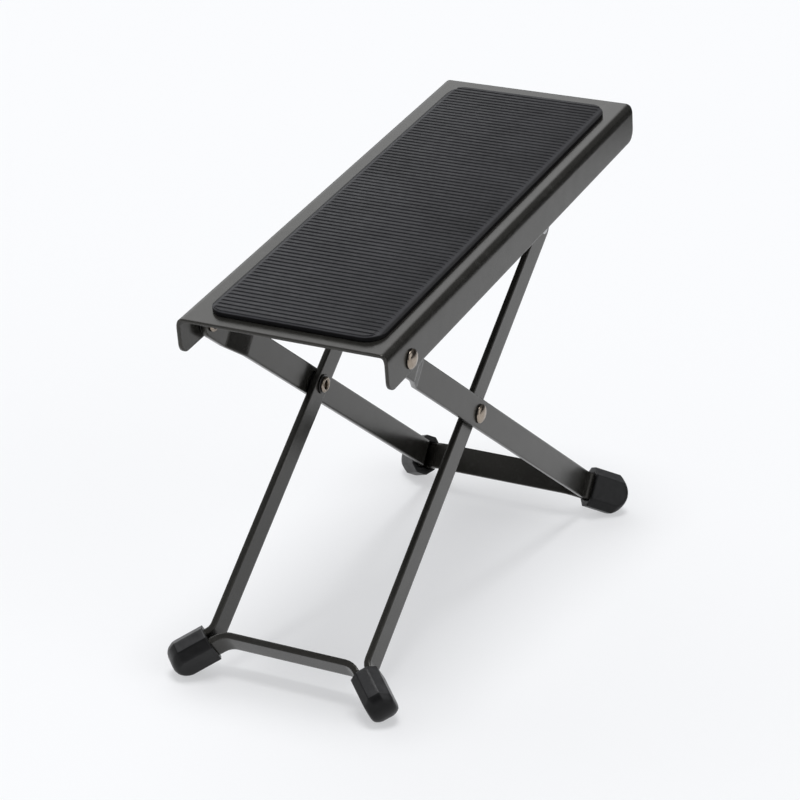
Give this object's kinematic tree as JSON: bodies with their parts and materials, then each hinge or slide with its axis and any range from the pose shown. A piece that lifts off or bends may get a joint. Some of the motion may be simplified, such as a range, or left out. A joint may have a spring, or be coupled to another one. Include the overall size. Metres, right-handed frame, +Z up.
{
  "type": "guitar footrest",
  "caption": "Folding guitar footrest: black steel footplate with a ribbed rubber mat on crossed flat-bar legs with rubber feet.",
  "frame": {"origin": "on the floor, at the bottom centre of the object's bounding box", "axes": "+Z up, +Y from the low end of the footplate to its high end, +X to the right when looking along +Y"},
  "size_m": [0.125, 0.2776, 0.206],
  "materials": {
    "black_paint": "satin powder coat",
    "mat_rubber": "ribbed, satin",
    "cap_rubber": "satin",
    "nickel_steel": "polished nickel",
    "zinc_steel": "zinc plated",
    "black_steel": "black oxide",
    "nylon": "matte"
  },
  "bodies": {
    "rear_leg": {"rear_leg_frame": "black_paint", "rear_foot_cap_left": "cap_rubber", "rear_foot_cap_right": "cap_rubber", "scissor_rivet_left": "nickel_steel", "scissor_rivet_right": "nickel_steel", "scissor_spacer_left": "nylon", "scissor_spacer_right": "nylon", "scissor_washer_left": "black_steel", "scissor_washer_right": "black_steel"},
    "front_leg": {"front_leg_frame": "black_paint", "cross_rod": "zinc_steel", "front_foot_cap_left": "cap_rubber", "front_foot_cap_right": "cap_rubber"},
    "plate": {"top_plate": "black_paint", "rubber_mat": "mat_rubber", "rack_left": "black_paint", "rack_right": "black_paint", "plate_rivet_left": "nickel_steel", "plate_rivet_right": "nickel_steel", "plate_washer_left": "nylon", "plate_washer_right": "nylon"}
  },
  "joints": [
    {"name": "scissor", "type": "hinge", "parent": "rear_leg", "child": "front_leg", "pos_m": [0, -0.01952, 0.101], "axis": [1, 0, 0], "range_deg": [-74, 0]},
    {"name": "plate_fold", "type": "hinge", "parent": "rear_leg", "child": "plate", "pos_m": [0, -0.10389, 0.15832], "axis": [1, 0, 0], "range_deg": [-40.4, 0]}
  ],
  "couplings": [
    {"joint": "plate_fold", "follows": "scissor", "ratio": 0.54459}
  ]
}
